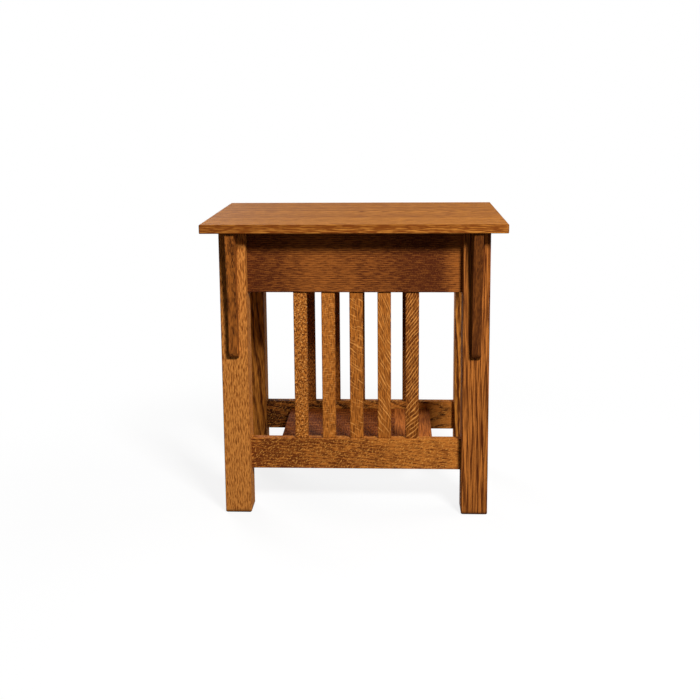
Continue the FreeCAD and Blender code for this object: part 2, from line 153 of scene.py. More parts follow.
# Oak, in board coordinates, in metres from a board's middle:
# x along the grain, y across the face, z through the board
oakBasics = {
    "Pith": (0.0, 0.16, -0.07),  # x is the lean per metre, y and z where the heart of the tree lies
    "Ring Width": 0.0042,
    "Waver": 0.006,
    "Ring Depth": 0.30,
    "Streak Length": 0.014,
    "Streak Width": 0.0009,
    "Streak Depth": 1.2,
    "Pore Depth": 0.55,
    "Lean": 1.2,  # of the rays, in radians from the grain
    "Fleck Length": 0.010,
    "Fleck Width": 0.0018,
    "Fleck Depth": 0.0,
    "Comb": 0.0,  # 0 for scattered flecks, 1 for even stripes
    "Fan": 0.0,  # how the flecks steepen, per metre along the grain
    "Cloud Size": (0.11, 0.038, 0.038),
    "Cloud Depth": 0.30,
    "Drift": 0.0,  # how much darker the board is at the far end of its x than in its middle
    "Sap Start": 0.8,  # share of the half length where paler sapwood begins
    "Sap Depth": 0.0,
    "Tone": 0.30,  # 0 is Light, 1 is Dark
    "Edge Width": 0.003,
    "Edge Depth": 0.25,
    "Rim Depth": 0.0,  # how much darker the two long edges are; below 0 it paints them lighter as a highlight
    "End Width": 0.0025,
    "End Depth": 0.55,
    "Light": stain(200, 126, 48),
    "Dark": stain(118, 58, 12),
    # the glaze colour, also used for the painted contact shadow at the legs' feet
    "Glaze And Shade": stain(50, 20, 4),
    "Ray": stain(214, 146, 66),
}
seedSides = {"rings": (0.0, 0.0), "streaks": (0.3, 0.7), "rays": (0.9, 0.1), "clouds": (0.5, 0.2)}


def seeded(tree, given, effect):  # the board's place, moved to where no other board or effect looks
    return vectorCalc(tree, "ADD", given["Board"], join(tree, given["Seed"], *seedSides[effect]))


ringHabits = {
    "slowWaves": (4.0, 16.0, 16.0),
    "quickWaves": (30.0, 140.0, 140.0),
    "quickDepth": 0.0016,
    "springEnd": 0.55,  # share of a year's ring
    "turnStart": 0.88,
    "yearStep": 17.0,  # sets the years of two boards apart
}


def buildGrowthRings():
    inputs = {"Board": "Vector", "Seed": "Float", "Pith": "Vector", "Ring Width": "Float", "Waver": "Float"}
    outputs = {"Early": "Float", "Year": "Float"}
    tree, given, result = newGroup("growthRings", "ShaderNodeTree", inputs, outputs)
    shifted = seeded(tree, given, "rings")
    slow = waveNoise(tree, shifted, ringHabits["slowWaves"], 2.0)
    quick = waveNoise(tree, shifted, ringHabits["quickWaves"], 1.0)
    along, across, through = split(tree, given["Board"])
    lean, pithAcross, pithThrough = split(tree, given["Pith"])
    across = calc(tree, "SUBTRACT", across, pithAcross)
    through = calc(tree, "SUBTRACT", through, pithThrough)
    through = calc(tree, "MULTIPLY_ADD", along, lean, through)
    squares = [calc(tree, "POWER", side, 2.0) for side in (across, through)]
    radius = calc(tree, "SQRT", calc(tree, "ADD", *squares))
    radius = calc(tree, "MULTIPLY_ADD", aroundZero(tree, slow), given["Waver"], radius)
    radius = calc(tree, "MULTIPLY_ADD", aroundZero(tree, quick), ringHabits["quickDepth"], radius)
    age = calc(tree, "DIVIDE", radius, given["Ring Width"])
    season = calc(tree, "FRACT", age)
    spring = smooth(tree, season, 0.0, ringHabits["springEnd"], 1.0, 0.0)
    turn = smooth(tree, season, ringHabits["turnStart"], 1.0)
    feed(tree, result["Early"], calc(tree, "MAXIMUM", spring, turn))
    firstYear = calc(tree, "MULTIPLY", given["Seed"], ringHabits["yearStep"])
    year = calc(tree, "ADD", calc(tree, "FLOOR", age), firstYear)
    feed(tree, result["Year"], whiteNoise(tree, "1D", {"W": year}))
    return tree


fibreHabits = {
    "apart": 500.0,  # how far the dashes of two fibres may be out of step
    "detail": 1.0,
    "roughness": 0.4,
}


def buildFibre():
    # dashes along one fibre, which no other fibre of the board shares
    inputs = {"Step": "Float", "Row": "Float", "Layer": "Float"}
    tree, given, result = newGroup("fibre", "ShaderNodeTree", inputs, {"Dash": "Float"})
    chance = whiteNoise(tree, "2D", {"Vector": join(tree, given["Row"], given["Layer"], 0.0)})
    dash = addNode(tree, "ShaderNodeTexNoise", {
        "W": calc(tree, "MULTIPLY_ADD", chance, fibreHabits["apart"], given["Step"]),
        "Scale": 1.0,
        "Detail": fibreHabits["detail"],
        "Roughness": fibreHabits["roughness"],
    }, noise_dimensions="1D")
    feed(tree, result["Dash"], dash.outputs[0])
    return tree


streakHabits = {
    "rowBlend": 0.4,  # share of a fibre's width where it starts to blend into the next
    "layerBlend": 0.6,
    "dashStart": 0.38,
    "dashFull": 0.62,
    "poreWaves": (130.0, 1500.0, 1500.0),
    "poreStart": 0.54,
    "poreFull": 0.66,
}


def buildPoreStreaks():
    inputs = {"Board": "Vector", "Seed": "Float", "Streak Length": "Float", "Streak Width": "Float"}
    outputs = {"Streak": "Float", "Pore": "Float"}
    tree, given, result = newGroup("poreStreaks", "ShaderNodeTree", inputs, outputs)
    shifted = seeded(tree, given, "streaks")
    along, across, through = split(tree, shifted)
    # rows and layers of fibres, each blended into the next
    step = calc(tree, "DIVIDE", along, given["Streak Length"])
    across = calc(tree, "DIVIDE", across, given["Streak Width"])
    through = calc(tree, "DIVIDE", through, given["Streak Width"])
    row = calc(tree, "FLOOR", across)
    nextRow = calc(tree, "ADD", row, 1.0)
    rowBlend = smooth(tree, calc(tree, "FRACT", across), streakHabits["rowBlend"], 1.0)
    firstLayer = calc(tree, "FLOOR", through)
    layerBlend = smooth(tree, calc(tree, "FRACT", through), streakHabits["layerBlend"], 1.0)
    dashes = []
    for layer in (firstLayer, calc(tree, "ADD", firstLayer, 1.0)):
        near = placeGroup(tree, fibre, {"Step": step, "Row": row, "Layer": layer})["Dash"]
        far = placeGroup(tree, fibre, {"Step": step, "Row": nextRow, "Layer": layer})["Dash"]
        dashes.append(blendValue(tree, rowBlend, near, far))
    dash = blendValue(tree, layerBlend, *dashes)
    streak = smooth(tree, dash, streakHabits["dashStart"], streakHabits["dashFull"])
    feed(tree, result["Streak"], streak)
    fine = waveNoise(tree, shifted, streakHabits["poreWaves"], 1.0)
    pore = smooth(tree, fine, streakHabits["poreStart"], streakHabits["poreFull"])
    feed(tree, result["Pore"], pore)
    return tree


rayHabits = {
    "swayWaves": (18.0, 30.0, 30.0),
    "sway": 0.022,
    "combSway": -0.016,  # even stripes sway less
    "level": 0.4,  # through the board
    "thickness": 0.012,
    "stripeSwing": 0.22,
    "start": 0.55,
    "full": 0.67,
}


def buildRayFlecks():
    inputs = {
        "Board": "Vector",
        "Seed": "Float",
        "Lean": "Float",
        "Fleck Length": "Float",
        "Fleck Width": "Float",
        "Comb": "Float",
        "Fan": "Float",
    }
    tree, given, result = newGroup("rayFlecks", "ShaderNodeTree", inputs, {"Fleck": "Float"})
    sway = waveNoise(tree, seeded(tree, given, "rays"), rayHabits["swayWaves"], 1.0)
    along, across, through = split(tree, given["Board"])
    across = calc(tree, "MULTIPLY", across, calc(tree, "MULTIPLY_ADD", along, given["Fan"], 1.0))
    inputs = {"Vector": join(tree, along, across, through), "Angle": given["Lean"]}
    turned = addNode(tree, "ShaderNodeVectorRotate", inputs, rotation_type="Z_AXIS").outputs[0]
    bendDepth = calc(tree, "MULTIPLY_ADD", given["Comb"], rayHabits["combSway"], rayHabits["sway"])
    bend = calc(tree, "MULTIPLY", aroundZero(tree, sway), bendDepth)
    turned = vectorCalc(tree, "ADD", turned, join(tree, given["Seed"], bend, rayHabits["level"]))
    size = join(tree, given["Fleck Length"], given["Fleck Width"], rayHabits["thickness"])
    scaled = vectorCalc(tree, "DIVIDE", turned, size)
    scattered = noise(tree, scaled, 1.0)
    stripe = calc(tree, "COSINE", calc(tree, "MULTIPLY", split(tree, scaled)[1], math.pi))
    even = calc(tree, "MULTIPLY_ADD", stripe, rayHabits["stripeSwing"], 0.5)
    ray = blendValue(tree, given["Comb"], scattered, even)
    feed(tree, result["Fleck"], smooth(tree, ray, rayHabits["start"], rayHabits["full"]))
    return tree


glazeAndShadingHabits = {"start": 0.0005, "rimWidth": 0.0025}


def buildEdgeGlazeAndShading():
    inputs = {"Board": "Vector", "Half Size": "Vector", "Edge Width": "Float", "End Width": "Float"}
    outputs = {"Edge": "Float", "Rim": "Float", "End": "Float"}
    tree, given, result = newGroup("edgeGlazeAndShading", "ShaderNodeTree", inputs, outputs)
    inside = vectorCalc(tree, "SUBTRACT", given["Half Size"], vectorCalc(tree, "ABSOLUTE", given["Board"]))
    along, across, through = split(tree, inside)
    # an edge is near where the second smallest of the three distances is small
    least = calc(tree, "MINIMUM", along, across)
    most = calc(tree, "MAXIMUM", along, across)
    second = calc(tree, "MAXIMUM", least, calc(tree, "MINIMUM", most, through))
    start = glazeAndShadingHabits["start"]
    feed(tree, result["Edge"], smooth(tree, second, 0.0, given["Edge Width"], 1.0, 0.0))
    feed(tree, result["Rim"], smooth(tree, across, start, glazeAndShadingHabits["rimWidth"], 1.0, 0.0))
    feed(tree, result["End"], smooth(tree, along, start, given["End Width"], 1.0, 0.0))
    return tree


oakHabits = {
    "cloudDetail": 2.0,
    "yearLeast": 0.6,  # how strongly the palest year shows, and how much more the darkest does
    "yearSpread": 0.8,
    "sapWaver": 0.25,
    "sapFade": 0.12,
    "porePlain": 0.4,
    "poreSpring": 0.6,
    "roughness": 0.74,
    "poreRoughness": 0.14,
    "rayRoughness": -0.10,
    "poreHeight": -1.0,
    "springHeight": -0.25,
}


def buildStainedOak():
    inputs = {"Board": "Vector", "Half Size": "Vector", "Seed": "Float", **oakBasics}
    outputs = {"Color": "Color", "Roughness": "Float", "Height": "Float"}
    tree, given, result = newGroup("stainedOak", "ShaderNodeTree", inputs, outputs)
    rings = placeInner(tree, growthRings, given)
    streaks = placeInner(tree, poreStreaks, given)
    rays = placeInner(tree, rayFlecks, given)
    edges = placeInner(tree, edgeGlazeAndShading, given)
    clouds = vectorCalc(tree, "DIVIDE", seeded(tree, given, "clouds"), given["Cloud Size"])
    cloud = aroundZero(tree, noise(tree, clouds, oakHabits["cloudDetail"]))
    streak = aroundZero(tree, streaks["Streak"])
    # how dark the stain is at each point
    yearDepth = calc(tree, "MULTIPLY_ADD", rings["Year"], oakHabits["yearSpread"], oakHabits["yearLeast"])
    ringTone = calc(tree, "MULTIPLY", rings["Early"], yearDepth)
    tone = calc(tree, "MULTIPLY_ADD", ringTone, given["Ring Depth"], given["Tone"])
    tone = calc(tree, "MULTIPLY_ADD", streak, given["Streak Depth"], tone)
    tone = calc(tree, "MULTIPLY_ADD", cloud, given["Cloud Depth"], tone)
    along = split(tree, vectorCalc(tree, "DIVIDE", given["Board"], given["Half Size"]))[0]
    tone = calc(tree, "MULTIPLY_ADD", along, given["Drift"], tone)
    sapEdge = calc(tree, "MULTIPLY_ADD", cloud, oakHabits["sapWaver"], along)
    sapFull = calc(tree, "ADD", given["Sap Start"], oakHabits["sapFade"])
    sap = smooth(tree, sapEdge, given["Sap Start"], sapFull)
    tone = calc(tree, "SUBTRACT", tone, calc(tree, "MULTIPLY", sap, given["Sap Depth"]))
    # the rims darken; a negative Rim Depth paints them lighter as a highlight
    tone = calc(tree, "MULTIPLY_ADD", edges["Rim"], given["Rim Depth"], tone)
    tone = addNode(tree, "ShaderNodeClamp", {0: tone}).outputs[0]
    # stain, rays, pores, and glaze that also paints shade, one over the other
    color = blendTone(tree, tone, given["Light"], given["Dark"])
    fleckAmount = calc(tree, "MULTIPLY", rays["Fleck"], given["Fleck Depth"])
    color = blendTone(tree, fleckAmount, color, given["Ray"])
    poreShare = calc(tree, "MULTIPLY_ADD", rings["Early"], oakHabits["poreSpring"], oakHabits["porePlain"])
    poreAmount = calc(tree, "MULTIPLY", streaks["Pore"], poreShare)
    color = blendTone(tree, calc(tree, "MULTIPLY", poreAmount, given["Pore Depth"]), color, given["Glaze And Shade"])
    # edges and ends take the glaze colour; on the legs' feet this is painted contact shadow
    edgeAmount = calc(tree, "MULTIPLY", edges["Edge"], given["Edge Depth"])
    endAmount = calc(tree, "MULTIPLY", edges["End"], given["End Depth"])
    color = blendTone(tree, calc(tree, "MAXIMUM", edgeAmount, endAmount), color, given["Glaze And Shade"])
    feed(tree, result["Color"], color)
    rough = calc(tree, "MULTIPLY_ADD", poreAmount, oakHabits["poreRoughness"], oakHabits["roughness"])
    rough = calc(tree, "MULTIPLY_ADD", fleckAmount, oakHabits["rayRoughness"], rough)
    feed(tree, result["Roughness"], rough)
    springHeight = calc(tree, "MULTIPLY", rings["Early"], oakHabits["springHeight"])
    height = calc(tree, "MULTIPLY_ADD", poreAmount, oakHabits["poreHeight"], springHeight)
    feed(tree, result["Height"], height)
    return tree


growthRings = buildGrowthRings()
fibre = buildFibre()
poreStreaks = buildPoreStreaks()
rayFlecks = buildRayFlecks()
edgeGlazeAndShading = buildEdgeGlazeAndShading()
stainedOak = buildStainedOak()
print("oak groups built")


# turns in degrees that take the table's axes to a board's
grainTurns = {
    "levelBoard": (0, 0, 0),
    "apron": (-90, 0, 0),
    "endApron": (-90, -90, 0),
    "upright": (90, 0, 90),
    "shelf": (0, 0, -90),
}
oakSheen = {"bump": 0.25, "bumpDistance": 0.0005, "specular": 0.06}


def startMaterial(name):
    material = bpy.data.materials.new(name)
    material.use_nodes = True
    material.node_tree.nodes.clear()
    return material, material.node_tree


def oakMaterial(name, look, turn, half, centre=None, carried=None):
    # a row of boards has no centre: it carries each board's middle and the values in carried as attributes
    material, tree = startMaterial(name)
    place = addNode(tree, "ShaderNodeTexCoord").outputs["Object"]
    turning = Euler([math.radians(angle) for angle in turn], "XYZ")
    location = Vector()
    if centre is None:
        middle = addNode(tree, "ShaderNodeAttribute", attribute_name="slatCentre").outputs["Vector"]
        place = vectorCalc(tree, "SUBTRACT", place, middle)
    else:
        location = -(turning.to_matrix() @ Vector(centre))
    mapping = addNode(tree, "ShaderNodeMapping", {"Vector": place, "Location": location, "Rotation": turning})
    boardHalf = [abs(size) for size in turning.to_matrix() @ Vector(half)]
    inputs = {**oakBasics, **look, "Board": mapping.outputs[0], "Half Size": boardHalf}
    for label, attribute in (carried or {}).items():
        inputs[label] = addNode(tree, "ShaderNodeAttribute", attribute_name=attribute).outputs["Fac"]
    oak = placeGroup(tree, stainedOak, inputs)
    bump = addNode(tree, "ShaderNodeBump", {
        "Height": oak["Height"],
        "Strength": oakSheen["bump"],
        "Distance": oakSheen["bumpDistance"],
    })
    shader = addNode(tree, "ShaderNodeBsdfPrincipled", {
        "Base Color": oak["Color"],
        "Roughness": oak["Roughness"],
        "Normal": bump.outputs[0],
        "Specular IOR Level": oakSheen["specular"],
    })
    addNode(tree, "ShaderNodeOutputMaterial", {"Surface": shader.outputs[0]})
    return material


def dress(node, look, turn):
    low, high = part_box(node)
    material = oakMaterial("oak_" + node, look, grainTurns[turn], (high - low) / 2, (low + high) / 2)
    for slot in cadNodes[node].material_slots:
        slot.material = material


# Top boards
topLook = {
    "Light": stain(190, 121, 47),
    "Dark": stain(116, 58, 13),
    "Ring Depth": 0.50,
    "Rim Depth": 0.70,
    "Streak Length": 0.035,
    "Streak Width": 0.0011,
    "Streak Depth": 0.9,
    "Cloud Size": (0.90, 0.013, 0.013),
    "Cloud Depth": 1.6,
}
topBoards = {
    "top_board_front": {"Seed": 1.0, "Pith": (0.02, -0.11, -0.16), "Tone": 0.05},
    "top_board_middle": {"Seed": 2.3, "Pith": (0.12, 0.014, -0.05), "Ring Width": 0.0055, "Tone": 0.25},
    "top_board_back": {"Seed": 3.1, "Pith": (0.02, 0.12, -0.15), "Tone": 0.15},
}
for node, look in topBoards.items():
    dress(node, {**topLook, **look}, "levelBoard")

# Legs, with dark feet: end-grain stain and a painted contact shadow where they stand
legLook = {
    "Dark": stain(84, 38, 9),
    "Streak Length": 0.030,
    "Streak Depth": 0.7,
    # a wide dark band at each end: end-grain stain and painted contact shadow at the feet
    "End Width": 0.010,
    "End Depth": 0.9,
}
legs = {
    "leg_front_left": {
        "Seed": 4.2,
        "Tone": 0.10,
        "Drift": 0.08,
        "Light": stain(202, 129, 58),
        "Dark": stain(126, 65, 18),
        "Pith": (0.015, 0.30, 0.06),
        "Ring Width": 0.0050,
        "Ring Depth": 0.45,
        "Streak Length": 0.014,
        "Streak Depth": 1.25,
    },
    "leg_front_right": {
        "Seed": 5.7,
        "Tone": 0.31,
        "Light": stain(182, 108, 44),
        "Pith": (0.03, 0.16, 0.13),
        "Ring Width": 0.0072,
        "Ring Depth": 0.60,
        "Waver": 0.014,
        "Streak Length": 0.090,
        "Streak Width": 0.0012,
        "Streak Depth": 0.95,
    },
    "leg_back_left": {
        "Seed": 6.4,
        "Tone": 0.26,
        "Pith": (0.025, 0.06, 0.065),
        "Ring Width": 0.0066,
        "Ring Depth": 0.62,
        "Waver": 0.019,
    },
    "leg_back_right": {
        "Seed": 7.9,
        "Tone": 0.28,
        "Pith": (0.035, 0.03, 0.055),
        "Ring Width": 0.0066,
        "Ring Depth": 0.85,
        "Waver": 0.018,
    },
}
for node, look in legs.items():
    dress(node, {**legLook, **look}, "upright")

# Aprons
apronLook = {
    "Light": stain(150, 85, 32),
    "Dark": stain(74, 31, 9),
    "Pith": (0.0, -0.25, -0.05),
    "Ring Width": 0.0037,
    "Ring Depth": 0.80,
    "Waver": 0.003,
    "Streak Length": 0.020,
    "Streak Width": 0.0008,
    "Streak Depth": 0.8,
    "Lean": 1.5,
    "Fleck Depth": 0.20,
    "Fleck Length": 0.004,
    "Cloud Size": (0.15, 0.40, 0.40),
    "Cloud Depth": 2.0,
    "Tone": 0.50,
    "Ray": stain(170, 104, 44),
}
aprons = {
    "apron_front": ("apron", {"Seed": 9.34, "Drift": 0.14, "Sap Start": 0.76, "Sap Depth": 0.75}),
    "apron_back": ("apron", {"Seed": 8.6}),
    "apron_left": ("endApron", {"Seed": 10.2}),
    "apron_right": ("endApron", {"Seed": 11.8}),
}
for node, (turn, look) in aprons.items():
    dress(node, {**apronLook, **look}, turn)

# Lower rails, and the cleats on their inner faces
railLook = {
    "Light": stain(186, 111, 42),
    "Dark": stain(98, 45, 12),
    "Streak Width": 0.0008,
    "Lean": -0.8,
}
rails = {
    "lower_rail_front": {
        "Seed": 12.5,
        "Tone": 0.48,
        "Drift": -0.36,
        "Cloud Size": (0.032, 0.022, 0.022),
        "Cloud Depth": 1.5,
        "Pith": (0.10, -0.09, -0.05),
        "Ring Width": 0.0062,
        "Ring Depth": 0.45,
        "Waver": 0.012,
        "Streak Length": 0.016,
        "Streak Depth": 0.9,
        "Fleck Length": 0.005,
        "Fleck Width": 0.0022,
        "Fleck Depth": 0.65,
        # lighter along both long edges: a painted highlight where the edges catch light, with edge wear
        "Rim Depth": -0.4,
        "Edge Depth": 0.1,
    },
    "lower_rail_back": {
        "Seed": 13.3,
        "Tone": 0.22,
        # Drift and the deep Dark paint shade toward the left end and light toward the right end
        "Drift": -0.66,
        "Dark": stain(60, 26, 8),
        "Cloud Size": (0.050, 0.012, 0.012),
        "Cloud Depth": 1.3,
        "Pith": (0.12, 0.005, -0.03),
        "Ring Width": 0.007,
        "Ring Depth": 0.80,
        "Waver": 0.020,
        "Streak Length": 0.020,
        "Fleck Length": 0.006,
        "Fleck Depth": 0.65,
    },
}
for node, look in rails.items():
    dress(node, {**railLook, **look}, "apron")

cleatLook = {
    "Pith": (0.0, -0.20, -0.06),
    "Ring Width": 0.0046,
    "Ring Depth": 0.5,
    "Waver": 0.004,
    "Streak Length": 0.010,
}
cleats = {"shelf_cleat_front": {"Seed": 22.6}, "shelf_cleat_back": {"Seed": 23.4}}
for node, look in cleats.items():
    dress(node, {**railLook, **cleatLook, **look}, "apron")

# Corbels
corbelLook = {
    "Light": stain(164, 94, 34),
    "Dark": stain(72, 34, 9),
    "Pith": (0.10, 0.02, -0.05),
    "Ring Width": 0.006,
    "Ring Depth": 0.3,
    "Streak Length": 0.028,
    "Streak Width": 0.0009,
    "Streak Depth": 0.8,
    "Cloud Size": (0.030, 0.012, 0.012),
    "Cloud Depth": 1.4,
}
corbels = {
    "corbel_front_left": {"Seed": 14.1, "Tone": 0.33},
    "corbel_front_right": {
        "Seed": 15.6,
        "Tone": 0.82,
        "Ring Depth": 0.1,
        "Streak Depth": 0.3,
        "Cloud Depth": 0.4,
    },
    "corbel_back_left": {"Seed": 16.2, "Tone": 0.40},
    "corbel_back_right": {"Seed": 17.4, "Tone": 0.50},
}
for node, look in corbels.items():
    dress(node, {**corbelLook, **look}, "upright")

# Shelf boards
shelfLook = {
    "Tone": 0.5,
    "Light": stain(150, 78, 22),
    "Dark": stain(84, 34, 5),
    "Pith": (0.0, 0.14, -0.10),
    "Lean": 1.5,
    "Fleck Length": 0.030,
    "Fleck Width": 0.009,
    "Fleck Depth": 0.45,
    "Comb": 0.45,
    "Streak Depth": 0.9,
    "Ray": stain(176, 104, 48),
}
shelfBoards = {
    "shelf_board_1": {"Seed": 18.8},
    "shelf_board_2": {"Seed": 19.5},
    "shelf_board_3": {"Seed": 20.3},
    "shelf_board_4": {
        "Seed": 21.7,
        "Tone": 0.25,
        "Light": stain(180, 102, 42),
        "Dark": stain(112, 54, 18),
        "Fleck Depth": 0.1,
        "Streak Length": 0.060,
        "Streak Width": 0.0013,
    },
}
for node, look in shelfBoards.items():
    dress(node, {**shelfLook, **look}, "shelf")

# Corbel dowels, of beech
dowelLook = {"Seed": 25.0, "Light": stain(206, 170, 124), "Dark": stain(178, 138, 92)}
dress("corbel_dowels", dowelLook, "shelf")
print("boards dressed")


# Slats: one row in front and one behind, each slat with a figure of its own
slatSizes = {
    "Width": 0.0275,
    "Thickness": 0.011,
    "Length": 0.308,
    "Edge Radius": 0.001,
    "Tenon Width": 0.0195,
    "Tenon Thickness": 0.006,
    "Tenon Length": 0.010,
    "Tenon Edge Radius": 0.0003,
    "Spacing": 0.057,
    "Base": 0.156,
}
slatRows = {
    "front": {"Shift": 0.0025, "Row": -0.130, "darker": 0.0, "fleckShare": 1.0},
    # the back row stands in shadow: its darker tone and dimmer flecks are painted shade
    "back": {"Shift": -0.002, "Row": 0.130, "darker": 0.35, "fleckShare": 0.35},
}
# from left to right, the rays with their lean in degrees, the grain, and how dark the slat is
slatFigures = [
    {"fleckLean": 105, "fleckLong": 0.0044, "fleckWide": 0.0021, "fleckShow": 1.0, "fleckComb": 0.0,
     "fleckFan": 0.0, "grainLong": 0.007, "grainWide": 0.0009, "grainShow": 1.3, "slatShade": 0.48},
    {"fleckLean": 90, "fleckLong": 0.010, "fleckWide": 0.0022, "fleckShow": 0.6, "fleckComb": 0.4,
     "fleckFan": 0.0, "grainLong": 0.014, "grainWide": 0.0011, "grainShow": 0.7, "slatShade": 0.30},
    {"fleckLean": 58, "fleckLong": 0.026, "fleckWide": 0.0030, "fleckShow": 0.7, "fleckComb": 0.2,
     "fleckFan": 0.0, "grainLong": 0.026, "grainWide": 0.0011, "grainShow": 0.7, "slatShade": 0.42},
    {"fleckLean": 27, "fleckLong": 0.034, "fleckWide": 0.0025, "fleckShow": 0.85, "fleckComb": 0.45,
     "fleckFan": 2.0, "grainLong": 0.026, "grainWide": 0.0011, "grainShow": 0.6, "slatShade": 0.42},
    {"fleckLean": -37, "fleckLong": 0.024, "fleckWide": 0.0028, "fleckShow": 0.8, "fleckComb": 0.6,
     "fleckFan": 1.8, "grainLong": 0.016, "grainWide": 0.0011, "grainShow": 0.6, "slatShade": 0.78},
]
slatSeeds = {"first": 30.0, "slatStep": 1.7, "rowStep": 10}
slatLook = {
    "Light": stain(186, 110, 40),
    "Dark": stain(96, 46, 10),
    "Ray": stain(222, 150, 74),
    "Pith": (0.0, 0.16, -0.02),
    "Ring Depth": 0.15,
}
slatCarried = {  # the oak's inputs, and the attributes of a slat that feed them
    "Lean": "fleckLean",
    "Fleck Length": "fleckLong",
    "Fleck Width": "fleckWide",
    "Fleck Depth": "fleckShow",
    "Comb": "fleckComb",
    "Fan": "fleckFan",
    "Streak Length": "grainLong",
    "Streak Width": "grainWide",
    "Streak Depth": "grainShow",
    "Tone": "slatShade",
    "Seed": "slatSeed",
}
barFineness = {"edgeSteps": 4, "weld": 0.00001}


def geometry(tree, kind, inputs=None, **settings):
    return addNode(tree, kind, inputs, **settings).outputs[0]


def joinMeshes(tree, meshes):
    node = addNode(tree, "GeometryNodeJoinGeometry")
    for mesh in meshes:
        tree.links.new(mesh, node.inputs[0])
    return node.outputs[0]


def uniteMeshes(tree, meshes):
    node = addNode(tree, "GeometryNodeMeshBoolean", operation="UNION", solver="EXACT")
    for mesh in meshes:
        tree.links.new(mesh, node.inputs["Mesh"])
    return node.outputs["Mesh"]


def cutMeshes(tree, mesh, cutters):
    inputs = {"Mesh 1": mesh}
    node = addNode(tree, "GeometryNodeMeshBoolean", inputs, operation="DIFFERENCE", solver="EXACT")
    for cutter in cutters:
        tree.links.new(cutter, node.inputs["Mesh 2"])
    return node.outputs["Mesh"]


def weld(tree, mesh, distance):
    return geometry(tree, "GeometryNodeMergeByDistance", {"Geometry": mesh, "Distance": distance})


def lifted(tree, mesh, height, turn=0.0):
    inputs = {"Geometry": mesh, "Translation": join(tree, 0.0, 0.0, height), "Rotation": (0.0, 0.0, turn)}
    return geometry(tree, "GeometryNodeTransform", inputs)


def placed(tree, points, instance, finish, **more):  # an instance on each point, as one mesh with its finish
    inputs = {"Points": points, "Instance": instance, **more}
    row = geometry(tree, "GeometryNodeInstanceOnPoints", inputs)
    row = geometry(tree, "GeometryNodeRealizeInstances", {"Geometry": row})
    return geometry(tree, "GeometryNodeSetMaterial", {"Geometry": row, "Material": finish})


def roundedBar(tree, width, thickness, radius, low, high):  # an upright bar with eased edges
    outline = geometry(tree, "GeometryNodeCurvePrimitiveQuadrilateral", {"Width": width, "Height": thickness})
    inputs = {"Curve": outline, "Count": barFineness["edgeSteps"], "Radius": radius}
    eased = geometry(tree, "GeometryNodeFilletCurve", inputs, mode="POLY")
    face = geometry(tree, "GeometryNodeFillCurve", {"Curve": eased}, mode="NGONS")
    raised = geometry(tree, "GeometryNodeExtrudeMesh", {
        "Mesh": face,
        "Offset": join(tree, 0.0, 0.0, 1.0),
        "Offset Scale": calc(tree, "SUBTRACT", high, low),
        "Individual": False,
    })
    under = geometry(tree, "GeometryNodeFlipFaces", {"Mesh": face})
    bar = weld(tree, joinMeshes(tree, [raised, under]), barFineness["weld"])
    return lifted(tree, bar, low)


def buildSlatRow():
    inputs = {"Geometry": "Geometry", "Finish": "Material", **slatSizes, "Shift": "Float", "Row": "Float"}
    tree, given, result = newGroup("slatRow", "GeometryNodeTree", inputs, {"Geometry": "Geometry"})
    count = addNode(tree, "GeometryNodeAttributeDomainSize", {0: given["Geometry"]}).outputs["Point Count"]
    middle = calc(tree, "DIVIDE", calc(tree, "SUBTRACT", count, 1.0), 2.0)
    step = calc(tree, "SUBTRACT", geometry(tree, "GeometryNodeInputIndex"), middle)
    across = calc(tree, "MULTIPLY_ADD", step, given["Spacing"], given["Shift"])
    halfLength = calc(tree, "DIVIDE", given["Length"], 2.0)
    up = calc(tree, "ADD", given["Base"], halfLength)
    places = join(tree, across, given["Row"], up)
    points = geometry(tree, "GeometryNodeSetPosition", {"Geometry": given["Geometry"], "Position": places})
    inputs = {"Geometry": points, "Name": "slatCentre", "Value": places}
    points = geometry(
        tree, "GeometryNodeStoreNamedAttribute", inputs, data_type="FLOAT_VECTOR", domain="POINT",
    )
    low = calc(tree, "MULTIPLY", halfLength, -1.0)
    bar = roundedBar(tree, given["Width"], given["Thickness"], given["Edge Radius"], low, halfLength)
    tenonHigh = calc(tree, "ADD", halfLength, given["Tenon Length"])
    tenonLow = calc(tree, "MULTIPLY", tenonHigh, -1.0)
    tenonSides = (given["Tenon Width"], given["Tenon Thickness"], given["Tenon Edge Radius"])
    tenon = roundedBar(tree, *tenonSides, tenonLow, tenonHigh)
    slat = uniteMeshes(tree, [bar, tenon])
    feed(tree, result["Geometry"], placed(tree, points, slat, given["Finish"]))
    return tree


def makeFromTree(name, tree, start, values):  # a plain mesh from a tree, at the origin
    holder = bpy.data.objects.new(name + "_start", start)
    scene.collection.objects.link(holder)
    modifier = holder.modifiers.new(name, "NODES")
    modifier.node_group = tree
    sockets = {item.name: item.identifier for item in inputItems(tree)}
    for label, value in values.items():
        modifier[sockets[label]] = value
    depsgraph = bpy.context.evaluated_depsgraph_get()
    mesh = bpy.data.meshes.new_from_object(
        holder.evaluated_get(depsgraph), preserve_all_data_layers=True, depsgraph=depsgraph,
    )
    mesh.name = name
    bpy.data.objects.remove(holder)
    piece = bpy.data.objects.new(name, mesh)
    scene.collection.objects.link(piece)
    return piece


def pointMesh(name, places, carried):  # loose points that carry values, to start a tree with
    mesh = bpy.data.meshes.new(name)
    mesh.from_pydata(places, [], [])
    for label, values in carried.items():
        isVector = isinstance(values[0], tuple)
        layer = mesh.attributes.new(label, "FLOAT_VECTOR" if isVector else "FLOAT", "POINT")
        for spot, value in zip(layer.data, values):
            setattr(spot, "vector" if isVector else "value", value)
    return mesh


